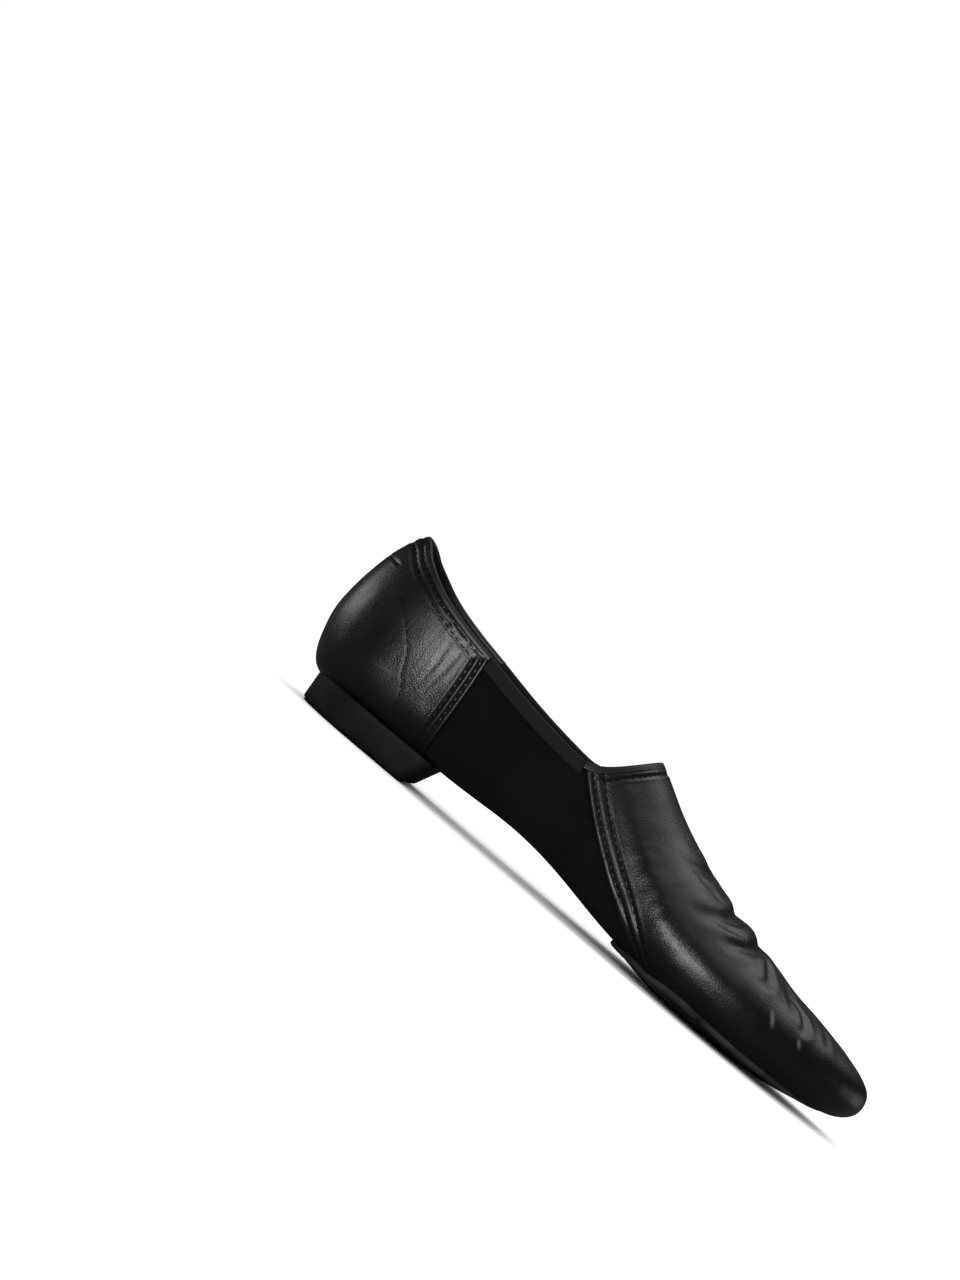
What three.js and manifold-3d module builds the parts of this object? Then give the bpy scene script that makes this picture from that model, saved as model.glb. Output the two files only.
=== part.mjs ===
// A right slip-on jazz shoe with a split sole: a stretch body with a leather vamp and a leather
// counter over it, a rubber heel and a separate sole pad under the ball of the foot.
// Millimetres, +Z up, toe towards +X, outer side of the foot towards -Y. The origin is on the
// floor, under the middle of the shoe.
import * as THREE from "three";
import { mergeVertices } from "three/addons/utils/BufferGeometryUtils.js";
import Module from "manifold-3d";

const wasm = await Module();
wasm.setup();
const { clamp, lerp, smoothstep } = THREE.MathUtils;

// The last that the body is pulled over
const LENGTH = 239; // back of the heel to the tip of the toe, outside the stretch body
const BALL_WIDTH = 83; // widest, across the ball of the foot
const HEEL_WIDTH = 57; // widest, across the heel
const COLLAR_HEIGHT = 57; // top of the collar at the back, above the heel seat
const INSTEP_HEIGHT = 50; // top of the throat, above the sole line there
const TOE_HEIGHT = 22; // depth of the toe box
const ARCH_RISE = 1.5; // how far the waist rises above the line from heel to ball
const TOE_SPRING = 5; // lift of the sole line at the tip of the toe

// Material thicknesses
const BODY_WALL = 1.8;
const LEATHER = 1.1;
const SOLE_THICKNESS = 2.2;
const INSOLE_THICKNESS = 2;
const BINDING_THICKNESS = 0.8;
const GAP = 0.3; // between neighbouring pieces

// Heel block
const HEEL_HEIGHT = 9; // floor to the middle of the heel seat
const HEEL_RIM = 2.5; // how far the rim of the block stands above the seat
const HEEL_LENGTH = 52;
const HEEL_INSET = 4; // inside the widest outline of the foot
const HEEL_SETBACK = 8.6; // back of the body to the back of the block
const HEEL_UNDERCUT = 5.5; // slope of the breast, top edge ahead of the bottom edge
const HEEL_FLARE = 1; // how far the block narrows from top to bottom, on each side
const HEEL_CORNER = 5; // rounding of the two front corners

// Sole pad under the ball of the foot
const PAD_LENGTH = 89;
const PAD_INSET = 5; // inside the widest outline of the foot
const PAD_TOE_INSET = 9; // the same, round the toe
const PAD_ROUNDING = 34; // length over which the pad's back end is rounded
const PAD_FLAT = 0.4; // how far the pad's underside is pressed flat by the floor

const BINDING_WIDTH = 4;
const INSOLE_INSET = 5; // inside the widest outline of the foot
const INSOLE_RISE = 7; // how far the insole's cupped rim may climb above the sole line
const LASTING_MARGIN = 10; // body and leather turned in under the pad and the heel block

// Stretches of the shoe, as shares of its length from the back
const WAIST = [0.25, 0.6]; // between heel seat and ball, where the arch rises
const SEAT_TO_BALL = [0.35, 0.69]; // where the sole line falls from the heel seat to the ball
const TOE_ROLL = [0.82, 1]; // where the toe lifts
const COLLAR_TO_INSTEP = [0.2, 0.45]; // where heights pass from one size to the next
const INSTEP_TO_TOE = [0.5, 0.85];
const HEEL_TO_BALL = [0.25, 0.6]; // where widths do
const BINDING_RUN = [0.2, 0.425]; // the leather cuts the binding shorter at both ends

const HEEL_SEAT = HEEL_HEIGHT + LEATHER + 2 * GAP;
const BALL_SEAT = SOLE_THICKNESS - PAD_FLAT + LEATHER + 2 * GAP;
const OVER_LEATHER = LEATHER + 2 * GAP; // body to whatever is set under the leather
const HEEL_BREADTH = HEEL_WIDTH - 2 * HEEL_INSET;
const PAD_BACK = LENGTH - PAD_TOE_INSET - PAD_LENGTH; // back of the body to the back of the pad

// Mesh steps
const ALONG = 34;
const AROUND = 28;
const CURVE_STEPS = 22;
const FINE_STEP = 0.002; // in rows or turns, for working out slopes
const FAR = 160; // beyond the shoe on every side

// One row for each section of the last, from heel to toe. share is of LENGTH. lateral and medial
// are the reaches of the two sides and ridge the place of the top line, as shares of the local
// width. belly is the height of the widest line above the sole line, rise what is above it and
// drop what is below it, as shares of the local depth. upper and lower are the exponents of the
// curves above and below the widest line. Above the collar the rows close over what is cut away.
const COLUMNS = ["share", "lateral", "medial", "ridge", "belly", "rise", "drop", "upper", "lower"];
const SECTIONS = [
  [0.0, 0.0, 0.0, 0.0, 0.391, 0.0, 0.0, 2.0, 2.0],
  [0.008, 0.18, 0.18, 0.0, 0.377, 0.31, 0.175, 2.05, 2.1],
  [0.024, 0.296, 0.296, 0.0, 0.357, 0.545, 0.305, 2.1, 2.4],
  [0.05, 0.392, 0.392, 0.0, 0.333, 0.72, 0.331, 2.1, 2.9],
  [0.094, 0.477, 0.474, 0.0, 0.312, 0.895, 0.312, 2.1, 3.5],
  [0.167, 0.502, 0.495, 0.0, 0.304, 0.974, 0.304, 2.05, 4.0],
  [0.259, 0.501, 0.48, 0.009, 0.3, 0.937, 0.3, 2.0, 3.7],
  [0.364, 0.462, 0.414, 0.032, 0.274, 0.886, 0.274, 2.0, 2.9],
  [0.46, 0.426, 0.374, 0.054, 0.255, 0.77, 0.255, 2.0, 2.5],
  [0.556, 0.433, 0.382, 0.067, 0.277, 0.624, 0.277, 2.0, 2.6],
  [0.649, 0.48, 0.439, 0.078, 0.337, 0.6, 0.337, 2.05, 2.8],
  [0.733, 0.498, 0.489, 0.084, 0.41, 0.643, 0.41, 2.1, 3.0],
  [0.804, 0.455, 0.501, 0.09, 0.476, 0.669, 0.476, 2.2, 3.0],
  [0.864, 0.383, 0.484, 0.096, 0.464, 0.614, 0.464, 2.2, 2.8],
  [0.913, 0.296, 0.448, 0.102, 0.408, 0.532, 0.408, 2.2, 2.6],
  [0.951, 0.19, 0.388, 0.108, 0.348, 0.441, 0.348, 2.1, 2.4],
  [0.978, 0.081, 0.315, 0.108, 0.302, 0.332, 0.264, 2.0, 2.2],
  [0.995, -0.022, 0.226, 0.108, 0.282, 0.195, 0.145, 2.0, 2.0],
  [1.0, -0.108, 0.108, 0.108, 0.286, 0.0, 0.0, 2.0, 2.0],
].map((row) => Object.fromEntries(row.map((value, i) => [COLUMNS[i], value])));
const LAST_ROW = SECTIONS.length - 1;

// Edges seen from the side: share of LENGTH, and height above the sole line as a share of the
// local depth.
const TOPLINE = [
  [-0.03, 1.04], [0.033, 0.996], [0.067, 0.9], [0.113, 0.804], [0.167, 0.742], [0.222, 0.7],
  [0.293, 0.664], [0.36, 0.643], [0.41, 0.652], [0.435, 0.718], [0.46, 0.845], [0.485, 1.004],
  [0.506, 1.153],
];
const VAMP_EDGE = [
  [0.372, 0.86], [0.41, 0.652], [0.448, 0.506], [0.494, 0.371], [0.544, 0.262], [0.598, 0.173],
  [0.644, 0.092], [0.674, 0.012], [0.69, -0.2],
];
const COUNTER_EDGE = [
  [0.214, 0.95], [0.218, 0.699], [0.224, 0.48], [0.228, 0.252], [0.23, 0.023], [0.23, -0.2],
];

// How far a share is through a stretch, from 0 to 1.
function through(share, [start, end]) {
  return clamp((share - start) / (end - start), 0, 1);
}

// Height of the body's underside, along the middle of the foot.
function soleLine(share) {
  return (
    lerp(HEEL_SEAT, BALL_SEAT, smoothstep(share, ...SEAT_TO_BALL)) +
    ARCH_RISE * Math.sin(Math.PI * through(share, WAIST)) ** 2 +
    TOE_SPRING * through(share, TOE_ROLL) ** 2
  );
}

// The size that heights follow: the collar at the back, then the instep, then the toe box.
function depthAt(share) {
  const back = lerp(COLLAR_HEIGHT, INSTEP_HEIGHT, smoothstep(share, ...COLLAR_TO_INSTEP));
  return lerp(back, TOE_HEIGHT, smoothstep(share, ...INSTEP_TO_TOE));
}

function widthAt(share) {
  return lerp(HEEL_WIDTH, BALL_WIDTH, smoothstep(share, ...HEEL_TO_BALL));
}

// Past either end the rows run back on the opposite side, which closes the form smoothly.
function rowAt(index) {
  if (index >= 0 && index <= LAST_ROW) return SECTIONS[index];
  const row = SECTIONS[index < 0 ? -index : 2 * LAST_ROW - index];
  return { ...row, lateral: -row.medial, medial: -row.lateral, rise: -row.drop, drop: -row.rise };
}

function catmullRom(a, b, c, d, t) {
  const first = c - a;
  const second = 2 * a - 5 * b + 4 * c - d;
  const third = 3 * (b - c) + d - a;
  return b + 0.5 * t * (first + t * (second + t * third));
}

// The section at u, which counts rows and may lie between two of them, in millimetres.
function sectionAt(u) {
  const i = Math.min(Math.floor(u), LAST_ROW - 1);
  const rows = [i - 1, i, i + 1, i + 2].map(rowAt);
  const at = {};
  for (const name of COLUMNS) {
    at[name] = catmullRom(...rows.map((row) => row[name]), u - i);
  }
  const width = widthAt(at.share);
  const depth = depthAt(at.share);
  return {
    x: at.share * LENGTH,
    ridge: at.ridge * width,
    lateral: at.lateral * width,
    medial: at.medial * width,
    waist: soleLine(at.share) + at.belly * depth,
    rise: at.rise * depth,
    drop: at.drop * depth,
    upper: at.upper,
    lower: at.lower,
  };
}

// A point of the form. v goes once round the section: underside, outer side, top, inner side.
function formPoint(u, v) {
  const s = sectionAt(u);
  const across = -Math.sin(2 * Math.PI * v);
  const up = -Math.cos(2 * Math.PI * v);
  const power = 2 / (up > 0 ? s.upper : s.lower);
  const reach = across < 0 ? s.lateral + s.ridge : s.medial - s.ridge;
  const height = up > 0 ? s.rise : s.drop;
  return new THREE.Vector3(
    s.x,
    s.ridge + Math.sign(across) * Math.abs(across) ** power * reach,
    s.waist + Math.sign(up) * Math.abs(up) ** power * height,
  );
}

function formNormal(u, v) {
  if (u <= 0) return new THREE.Vector3(-1, 0, 0);
  if (u >= LAST_ROW) return new THREE.Vector3(1, 0, 0);
  const ahead = formPoint(Math.min(u + FINE_STEP, LAST_ROW), v);
  const along = ahead.sub(formPoint(Math.max(u - FINE_STEP, 0), v));
  const round = formPoint(u, v + FINE_STEP).sub(formPoint(u, v - FINE_STEP));
  return along.cross(round).normalize();
}

function solidOf(geometry) {
  geometry.deleteAttribute("normal");
  geometry.deleteAttribute("uv");
  const merged = mergeVertices(geometry, 1e-4);
  return new wasm.Manifold(
    new wasm.Mesh({
      numProp: 3,
      vertProperties: merged.getAttribute("position").array,
      triVerts: new Uint32Array(merged.index.array),
    }),
  );
}

// The last grown by an offset: a sphere with its poles at heel and toe, drawn out to the form.
function form(offset) {
  const geometry = new THREE.SphereGeometry(1, AROUND, ALONG);
  const position = geometry.getAttribute("position");
  for (let i = 0; i < position.count; i++) {
    const u = (LAST_ROW * Math.floor(i / (AROUND + 1))) / ALONG;
    const v = ((i % (AROUND + 1)) % AROUND) / AROUND;
    const p = formPoint(u, v).addScaledVector(formNormal(u, v), offset);
    position.setXYZ(i, p.x, p.y, p.z);
  }
  return solidOf(geometry);
}

// A prism right through the shoe from one side to the other, over an outline seen from the side.
function sideZone(outline) {
  const geometry = new THREE.ExtrudeGeometry(new THREE.Shape(outline), {
    depth: 2 * FAR,
    bevelEnabled: false,
  });
  return solidOf(geometry.rotateX(Math.PI / 2).translate(0, FAR, 0));
}

// An upright prism over an outline seen from above.
function planZone(outline, low, high) {
  const geometry = new THREE.ExtrudeGeometry(new THREE.Shape(outline), {
    depth: high - low,
    bevelEnabled: false,
  });
  return solidOf(geometry.translate(0, 0, low));
}

function sideCurve(table, raise = 0) {
  const points = table.map(([share, height]) => {
    return new THREE.Vector2(share * LENGTH, soleLine(share) + height * depthAt(share) + raise);
  });
  return new THREE.SplineCurve(points).getPoints(CURVE_STEPS);
}

const corner = (x, z) => new THREE.Vector2(x, z);

// Everything above the top line, or below it, with the line raised by a distance.
function aboveTopline(raise = 0) {
  const line = sideCurve(TOPLINE, raise);
  return sideZone([...line, corner(line.at(-1).x, FAR), corner(-FAR, FAR), corner(-FAR, line[0].y)]);
}

function belowTopline(raise = 0) {
  const line = sideCurve(TOPLINE, raise);
  return sideZone([
    corner(-FAR, -FAR),
    corner(line.at(-1).x, -FAR),
    ...line.toReversed(),
    corner(-FAR, line[0].y),
  ]);
}

// Everything ahead of the vamp's back edge, and behind the counter's front edge, grown.
function vampZone(grow = 0) {
  const edge = sideCurve(VAMP_EDGE).map((p) => corner(p.x - grow, p.y - grow));
  return sideZone([
    ...edge,
    corner(edge.at(-1).x, -FAR),
    corner(LENGTH + FAR, -FAR),
    corner(LENGTH + FAR, FAR),
    corner(edge[0].x, FAR),
  ]);
}

function counterZone(grow = 0) {
  const edge = sideCurve(COUNTER_EDGE).map((p) => corner(p.x + grow, p.y));
  return sideZone([
    ...edge,
    corner(edge.at(-1).x, -FAR),
    corner(-FAR, -FAR),
    corner(-FAR, FAR),
    corner(edge[0].x, FAR),
  ]);
}

// How many rows lie behind the place x along the shoe.
function rowsBehind(x) {
  let low = 0;
  let high = LAST_ROW;
  while (high - low > FINE_STEP) {
    const middle = (low + high) / 2;
    if (sectionAt(middle).x < x) low = middle;
    else high = middle;
  }
  return low;
}

// A point of the foot's outline seen from above, on the outer side (-1) or the inner side (1),
// set inside it.
function edgePoint(u, side, inset) {
  const at = (row) => {
    const s = sectionAt(row);
    return corner(s.x, side < 0 ? -s.lateral : s.medial);
  };
  const ahead = at(Math.min(u + FINE_STEP, LAST_ROW));
  const along = ahead.sub(at(Math.max(u - FINE_STEP, 0))).normalize();
  return at(u).add(corner(along.y * side, -along.x * side).multiplyScalar(inset));
}

// An outline seen from above that follows the foot from a place to the toe, set inside its
// sides and inside its toe, with its back end rounded over a length.
function footOutline(back, inset, toeInset, rounding) {
  const first = rowsBehind(back);
  const points = [];
  for (let i = 0; i < 2 * CURVE_STEPS; i++) {
    const side = i <= CURVE_STEPS ? -1 : 1;
    const step = Math.min(i, 2 * CURVE_STEPS - i) / CURVE_STEPS;
    const u = lerp(first, LAST_ROW, 1 - Math.cos((Math.PI / 2) * step));
    const s = sectionAt(u);
    const point = edgePoint(u, side, lerp(inset, toeInset, smoothstep(s.x / LENGTH, ...TOE_ROLL)));
    if (rounding > 0) {
      const middle = (s.medial - s.lateral) / 2;
      const short = Math.max(0, 1 - (point.x - back) / rounding);
      point.y = lerp(middle, point.y, i === 0 ? 0 : Math.sqrt(1 - Math.min(1, short) ** 2));
    }
    points.push(point);
  }
  return points;
}

// An outline with every point drawn towards its middle.
function drawnIn(outline, margin) {
  const middle = new THREE.Box2().setFromPoints(outline).getCenter(corner(0, 0));
  return outline.map((point) => {
    const inward = middle.clone().sub(point).setLength(margin);
    return point.clone().add(inward);
  });
}

// D-shaped outline of the heel block at its top.
function heelOutline() {
  const front = HEEL_SETBACK + HEEL_LENGTH;
  const side = HEEL_BREADTH / 2;
  const shape = new THREE.Shape();
  shape.moveTo(front, -side + HEEL_CORNER);
  shape.lineTo(front, side - HEEL_CORNER);
  shape.absarc(front - HEEL_CORNER, side - HEEL_CORNER, HEEL_CORNER, 0, Math.PI / 2, false);
  shape.absarc(HEEL_SETBACK + side, 0, side, Math.PI / 2, (3 * Math.PI) / 2, false);
  shape.absarc(front - HEEL_CORNER, -side + HEEL_CORNER, HEEL_CORNER, -Math.PI / 2, 0, false);
  return shape.getPoints(CURVE_STEPS / 2);
}

// The heel block before the seat is hollowed: its sides draw in and its breast slopes back.
function heelBlock() {
  const height = HEEL_HEIGHT + HEEL_RIM;
  const geometry = new THREE.ExtrudeGeometry(new THREE.Shape(heelOutline()), {
    depth: height,
    bevelEnabled: false,
  });
  const position = geometry.getAttribute("position");
  for (let i = 0; i < position.count; i++) {
    const down = 1 - position.getZ(i) / height;
    const forward = (position.getX(i) - HEEL_SETBACK) / HEEL_LENGTH;
    const narrowing = 1 - (2 * HEEL_FLARE * down) / HEEL_BREADTH;
    position.setX(i, position.getX(i) + down * (HEEL_FLARE - (HEEL_UNDERCUT + HEEL_FLARE) * forward));
    position.setY(i, position.getY(i) * narrowing);
  }
  return solidOf(geometry);
}

const body = form(0);
const bodyInside = form(-BODY_WALL);
const underLeather = form(GAP);
const overLeather = form(GAP + LEATHER);
const underTread = form(OVER_LEATHER);
const collarOpening = aboveTopline();
const belowFloor = planZone(
  [corner(-FAR, -FAR), corner(2 * FAR, -FAR), corner(2 * FAR, FAR), corner(-FAR, FAR)],
  -FAR,
  0,
);

// Openings underneath, inside the pad and inside the heel block.
const padOutline = footOutline(PAD_BACK, PAD_INSET, PAD_TOE_INSET, PAD_ROUNDING);
const ballOpening = planZone(drawnIn(padOutline, LASTING_MARGIN), -FAR, BALL_SEAT + 2 * BODY_WALL);
const seatOpening = planZone(drawnIn(heelOutline(), LASTING_MARGIN), -FAR, HEEL_SEAT + 2 * BODY_WALL);

const upper = body
  .subtract(bodyInside)
  .subtract(collarOpening)
  .subtract(ballOpening)
  .subtract(seatOpening);

const leatherSkin = overLeather.subtract(underLeather).subtract(collarOpening);
const vamp = leatherSkin.intersect(vampZone()).subtract(ballOpening);
const counter = leatherSkin.intersect(counterZone()).subtract(seatOpening);

const heel = heelBlock()
  .subtract(underTread.intersect(counterZone(GAP)))
  .subtract(underLeather);

const padTop = BALL_SEAT + TOE_SPRING + SOLE_THICKNESS;
const forefootSole = form(OVER_LEATHER + SOLE_THICKNESS)
  .subtract(underLeather)
  .subtract(underTread.intersect(vampZone(GAP)))
  .intersect(planZone(padOutline, -FAR, padTop))
  .subtract(belowFloor);

const insoleOutline = footOutline(0, INSOLE_INSET, INSOLE_INSET, 0);
const insoleBand = sideZone([
  ...sideCurve([0, 0.25, 0.5, 0.75, 1].map((share) => [share, 0]), INSOLE_RISE),
  corner(LENGTH + FAR, -FAR),
  corner(-FAR, -FAR),
]);
const insole = form(-BODY_WALL - GAP)
  .subtract(form(-BODY_WALL - GAP - INSOLE_THICKNESS))
  .intersect(planZone(insoleOutline, -FAR, FAR))
  .intersect(insoleBand);

// A channel of binding over the top edge of the stretch panel, on both sides of the foot.
const [bindingBack, bindingFront] = BINDING_RUN.map((share) => share * LENGTH);
const bindingRun = sideZone([
  corner(bindingBack, 0),
  corner(bindingFront, 0),
  corner(bindingFront, FAR),
  corner(bindingBack, FAR),
]);
const edgeInBinding = underLeather
  .subtract(form(-BODY_WALL - GAP))
  .intersect(belowTopline(GAP));
const bindings = form(GAP + BINDING_THICKNESS)
  .subtract(form(-BODY_WALL - GAP - BINDING_THICKNESS))
  .intersect(bindingRun)
  .intersect(aboveTopline(-BINDING_WIDTH))
  .intersect(belowTopline(GAP + BINDING_THICKNESS))
  .subtract(edgeInBinding)
  .subtract(vampZone(GAP))
  .subtract(counterZone(GAP))
  .decompose()
  .sort((a, b) => a.boundingBox().min[1] - b.boundingBox().min[1]);

function meshOf(name, solid, color, roughness) {
  const { numProp, vertProperties, triVerts } = solid.getMesh();
  const geometry = new THREE.BufferGeometry();
  const position = new THREE.InterleavedBuffer(vertProperties, numProp);
  geometry.setAttribute("position", new THREE.InterleavedBufferAttribute(position, 3, 0));
  geometry.setIndex(new THREE.BufferAttribute(triVerts, 1));
  const mesh = new THREE.Mesh(
    geometry,
    new THREE.MeshStandardMaterial({ color, roughness, metalness: 0 }),
  );
  mesh.name = name;
  return mesh;
}

const shoe = new THREE.Group();
shoe.add(
  meshOf("upper", upper, 0x0b0b0c, 0.95),
  meshOf("vamp", vamp, 0x19191b, 0.4),
  meshOf("counter", counter, 0x19191b, 0.4),
  meshOf("binding_outer", bindings.at(0), 0x141412, 0.8),
  meshOf("binding_inner", bindings.at(-1), 0x141412, 0.8),
  meshOf("heel", heel, 0x22221f, 0.75),
  meshOf("forefoot_sole", forefootSole, 0x1d1e20, 0.8),
  meshOf("insole", insole, 0x101011, 0.9),
);
shoe.position.x = -LENGTH / 2;

export default shoe;
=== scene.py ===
"""A right slip-on jazz shoe with a split sole, dressed round its frame.

Sizes are worked out in millimetres from the back of the heel, with the toe towards +X, the outer
side of the foot towards -Y and the floor at z = 0. Meshes are stored in metres, with the origin on
the floor under the middle of the shoe.
"""

import math
from functools import lru_cache
from types import SimpleNamespace

import bmesh
import bpy
import numpy as np
from bpy.props import FloatProperty, FloatVectorProperty, PointerProperty
from mathutils import Matrix, Vector
from mathutils import noise as wander


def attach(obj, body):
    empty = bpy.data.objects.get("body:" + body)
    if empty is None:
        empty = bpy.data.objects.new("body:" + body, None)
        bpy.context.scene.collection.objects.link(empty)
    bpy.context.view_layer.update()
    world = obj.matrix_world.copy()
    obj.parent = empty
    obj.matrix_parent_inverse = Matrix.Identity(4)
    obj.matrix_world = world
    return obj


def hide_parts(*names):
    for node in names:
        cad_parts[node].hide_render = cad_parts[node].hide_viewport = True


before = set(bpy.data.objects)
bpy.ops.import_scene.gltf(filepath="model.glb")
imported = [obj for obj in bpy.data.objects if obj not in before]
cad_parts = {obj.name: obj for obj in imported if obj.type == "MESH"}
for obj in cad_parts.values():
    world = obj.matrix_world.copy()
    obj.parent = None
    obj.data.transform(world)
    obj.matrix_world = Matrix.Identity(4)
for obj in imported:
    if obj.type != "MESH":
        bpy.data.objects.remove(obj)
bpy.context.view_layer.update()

bl_info = {
    "name": "Jazz shoe",
    "version": (1, 0, 0),
    "blender": (4, 5, 0),
    "location": "3D View > Sidebar > Jazz shoe",
    "description": "Builds a slip-on jazz shoe piece by piece",
    "category": "Object",
}

# The last
LENGTH = 239.0
BALL_WIDTH = 83.0
HEEL_WIDTH = 57.0
COLLAR_HEIGHT = 57.0
INSTEP_HEIGHT = 50.0
TOE_HEIGHT = 22.0
ARCH_RISE = 1.5
TOE_SPRING = 5.0
HEEL_SEAT = 10.7
BALL_SEAT = 3.5

# Layers
GAP = 0.3
LEATHER = 1.1
BODY_WALL = 1.8
SOLE_THICKNESS = 2.2
INSOLE_THICKNESS = 2.0

# Heel block and sole pad
HEEL_HEIGHT = 9.0
HEEL_RIM = 2.5
HEEL_LENGTH = 52.0
HEEL_BREADTH = 49.0
HEEL_SETBACK = 8.6
HEEL_UNDERCUT = 5.5
HEEL_FLARE = 1.0
HEEL_CORNER = 5.0
TREAD = 0.5
RIB_MARGIN = 2.2
PAD_BACK = 141.0
PAD_FRONT = 230.0
PAD_INSET = 5.0
PAD_TOE_INSET = 9.0
PAD_ROUNDING = 34.0
PAD_LIP = (1.6, 3.0)
PAD_HOLLOW = 0.8
TOE_BLUNTING = 9.0
FLOOR_GAP = 0.03

# Insole
INSOLE_BACK = 7.5
INSOLE_FRONT = 233.0
INSOLE_INSET = 5.0
INSOLE_ROUNDING = 24.0

# Stretches of the shoe, as shares of its length
WAIST = (0.25, 0.6)
SEAT_TO_BALL = (0.35, 0.69)
TOE_ROLL = (0.82, 1.0)
COLLAR_TO_INSTEP = (0.2, 0.45)
INSTEP_TO_TOE = (0.5, 0.85)
HEEL_TO_BALL = (0.25, 0.6)

# Sections of the last from heel to toe: share of the length, reach of the outer and inner side
# and place of the ridge as shares of the local width, height of the widest line and what is above
# and below it as shares of the local depth, then the exponents of the upper and lower curves.
SECTIONS = np.array([
    [0.0, 0.0, 0.0, 0.0, 0.391, 0.0, 0.0, 2.0, 2.0],
    [0.008, 0.18, 0.18, 0.0, 0.377, 0.31, 0.175, 2.05, 2.1],
    [0.024, 0.296, 0.296, 0.0, 0.357, 0.545, 0.305, 2.1, 2.4],
    [0.05, 0.392, 0.392, 0.0, 0.333, 0.72, 0.331, 2.1, 2.9],
    [0.094, 0.477, 0.474, 0.0, 0.312, 0.895, 0.312, 2.1, 3.5],
    [0.167, 0.502, 0.495, 0.0, 0.304, 0.974, 0.304, 2.05, 4.0],
    [0.259, 0.501, 0.48, 0.009, 0.3, 0.937, 0.3, 2.0, 3.7],
    [0.364, 0.462, 0.414, 0.032, 0.274, 0.886, 0.274, 2.0, 2.9],
    [0.46, 0.426, 0.374, 0.054, 0.255, 0.77, 0.255, 2.0, 2.5],
    [0.556, 0.433, 0.382, 0.067, 0.277, 0.624, 0.277, 2.0, 2.6],
    [0.649, 0.48, 0.439, 0.078, 0.337, 0.6, 0.337, 2.05, 2.8],
    [0.733, 0.498, 0.489, 0.084, 0.41, 0.643, 0.41, 2.1, 3.0],
    [0.804, 0.455, 0.501, 0.09, 0.476, 0.669, 0.476, 2.2, 3.0],
    [0.864, 0.383, 0.484, 0.096, 0.464, 0.614, 0.464, 2.2, 2.8],
    [0.913, 0.296, 0.448, 0.102, 0.408, 0.532, 0.408, 2.2, 2.6],
    [0.951, 0.19, 0.388, 0.108, 0.348, 0.441, 0.348, 2.1, 2.4],
    [0.978, 0.081, 0.315, 0.108, 0.302, 0.332, 0.264, 2.0, 2.2],
    [0.995, -0.022, 0.226, 0.108, 0.282, 0.195, 0.145, 2.0, 2.0],
    [1.0, -0.108, 0.108, 0.108, 0.286, 0.0, 0.0, 2.0, 2.0],
])
TIP = len(SECTIONS) - 1
PAST_ENDS = SECTIONS[[1, -2]][:, [0, 2, 1, 3, 4, 6, 5, 7, 8]] * [1, -1, -1, 1, 1, -1, -1, 1, 1]
ROWS = np.vstack([PAST_ENDS[:1], SECTIONS, PAST_ENDS[1:]])

# Edges seen from the side: share of the length, share of the local depth above the sole line
TOPLINE = [
    (-0.03, 1.04), (0.033, 0.996), (0.067, 0.9), (0.113, 0.804), (0.167, 0.742), (0.222, 0.7),
    (0.293, 0.664), (0.36, 0.643), (0.41, 0.652), (0.435, 0.718), (0.46, 0.845), (0.485, 1.004),
    (0.506, 1.153),
]
VAMP_EDGE = [
    (0.372, 0.86), (0.41, 0.652), (0.448, 0.506), (0.494, 0.371), (0.544, 0.262), (0.598, 0.173),
    (0.644, 0.092), (0.674, 0.012), (0.69, -0.2),
]
COUNTER_EDGE = [
    (0.214, 0.95), (0.218, 0.699), (0.224, 0.48), (0.228, 0.252), (0.23, 0.023), (0.23, -0.2),
]

TURN = 2 * math.pi
STEP = 0.01
WELD = 1e-3
OUTER, INNER = -1, 1


def unit(vectors):
    return vectors / np.maximum(np.linalg.norm(vectors, axis=-1, keepdims=True), 1e-12)


def through(share, stretch):
    return np.clip((share - stretch[0]) / (stretch[1] - stretch[0]), 0, 1)


def eased(share, stretch):
    t = through(share, stretch)
    return t * t * (3 - 2 * t)


def sole_line(share):
    fall = HEEL_SEAT + (BALL_SEAT - HEEL_SEAT) * eased(share, SEAT_TO_BALL)
    arch = ARCH_RISE * np.sin(np.pi * through(share, WAIST)) ** 2
    return fall + arch + TOE_SPRING * through(share, TOE_ROLL) ** 2


def depth_at(share):
    back = COLLAR_HEIGHT + (INSTEP_HEIGHT - COLLAR_HEIGHT) * eased(share, COLLAR_TO_INSTEP)
    return back + (TOE_HEIGHT - back) * eased(share, INSTEP_TO_TOE)


def width_at(share):
    return HEEL_WIDTH + (BALL_WIDTH - HEEL_WIDTH) * eased(share, HEEL_TO_BALL)


def spline(a, b, c, d, t):
    return b + 0.5 * t * (c - a + t * (2 * a - 5 * b + 4 * c - d + t * (3 * (b - c) + d - a)))


def section(u):
    """Sizes of the last at u, which counts rows from the heel."""
    u = np.clip(np.asarray(u, float), 0, TIP)
    i = np.minimum(u.astype(int), TIP - 1)
    row = spline(ROWS[i], ROWS[i + 1], ROWS[i + 2], ROWS[i + 3], (u - i)[..., None])
    share, lateral, medial, ridge, belly, rise, drop, upper, lower = np.moveaxis(row, -1, 0)
    width, depth = width_at(share), depth_at(share)
    return SimpleNamespace(
        x=share * LENGTH,
        ridge=ridge * width,
        lateral=lateral * width,
        medial=medial * width,
        waist=sole_line(share) + belly * depth,
        rise=rise * depth,
        drop=drop * depth,
        upper=upper,
        lower=lower,
    )


def reach_of(s, y):
    """From a section's ridge to its outer or its inner side."""
    return np.where(y < 0, s.lateral + s.ridge, s.medial - s.ridge)


def turn_of(across, up):
    return np.arctan2(-across, -up) / TURN % 1


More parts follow.
